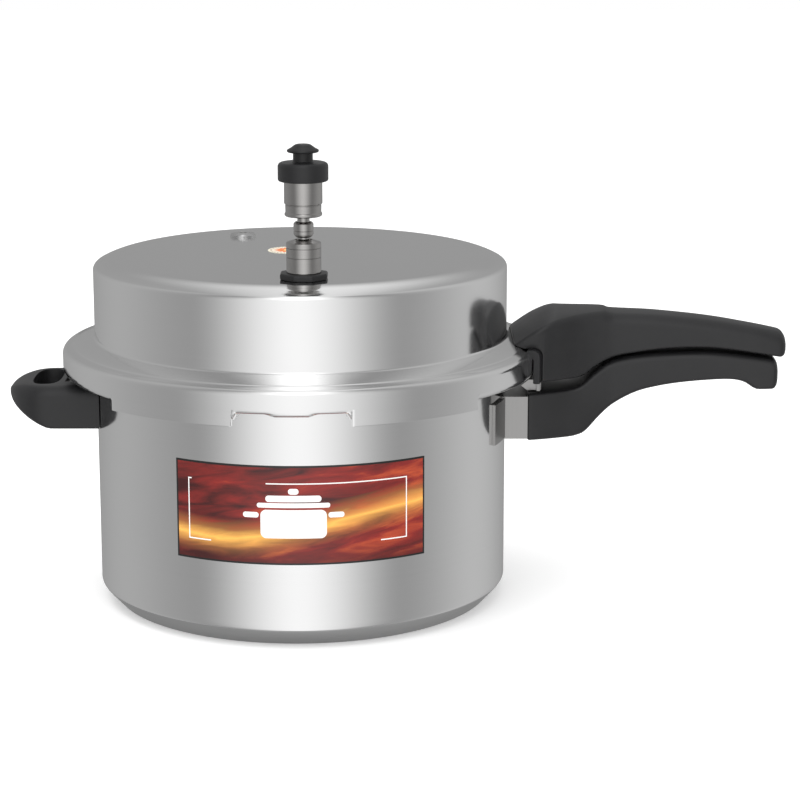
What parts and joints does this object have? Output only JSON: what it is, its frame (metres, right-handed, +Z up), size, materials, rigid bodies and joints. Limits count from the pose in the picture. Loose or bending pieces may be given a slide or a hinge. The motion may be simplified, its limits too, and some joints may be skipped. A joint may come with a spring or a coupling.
{
  "type": "stovetop pressure cooker",
  "caption": "Stovetop pressure cooker with an outer bayonet lid, long twin handles, a helper handle, a vent with a lift-off weight and a fusible safety plug.",
  "frame": {"origin": "centre of the flat base, on the axis of the pot", "axes": "+X along the two long handles, +Z up along the pot's axis; the vent is on the -Y side"},
  "size_m": [0.4745, 0.29, 0.288],
  "materials": {
    "polished_aluminium": "polished with fine turning lines",
    "black_phenolic": "moulded phenolic, satin",
    "steel": "turned or pressed stainless steel",
    "rubber": "moulded rubber",
    "printed_label": "printed gloss film",
    "printed_sticker": "printed gloss film",
    "fusible_metal": "dull cast alloy"
  },
  "bodies": {
    "pot": {"pot_body": "polished_aluminium", "pot_bracket": "steel", "pot_bracket_rivets": "polished_aluminium", "pot_handle": "black_phenolic", "pot_handle_screw": "steel", "helper_bracket": "steel", "helper_bracket_rivets": "polished_aluminium", "helper_handle": "black_phenolic", "helper_handle_screw": "steel", "body_label": "printed_label"},
    "lid": {"lid_shell": "polished_aluminium", "gasket": "rubber", "lid_bracket": "steel", "lid_bracket_rivets": "polished_aluminium", "lid_handle": "black_phenolic", "lid_handle_collar": "black_phenolic", "lid_handle_screws": "steel", "vent_pipe": "steel", "vent_housing": "steel", "vent_base_nut": "black_phenolic", "vent_washer": "rubber", "vent_lock_nut": "steel", "safety_plug": "steel", "fusible_alloy": "fusible_metal", "safety_plug_nut": "steel", "safety_plug_washer": "rubber", "lid_sticker": "printed_sticker"},
    "needle": {"valve_needle": "steel"},
    "weight": {"weight_sleeve": "steel", "weight_cap": "black_phenolic", "weight_stud": "steel"}
  },
  "joints": [
    {"name": "lid_turn", "type": "hinge", "parent": "pot", "child": "lid", "pos_m": [0, 0, 0.1485], "axis": [0, 0, 1], "range_deg": [0, 30]},
    {"name": "weight_lift", "type": "slide", "parent": "lid", "child": "needle", "axis": [0, 0, 1], "range_m": [0, 0.02]},
    {"name": "weight_spin", "type": "hinge", "parent": "needle", "child": "weight", "pos_m": [0.0056, -0.091, 0.26], "axis": [0, 0, 1], "continuous": true}
  ]
}
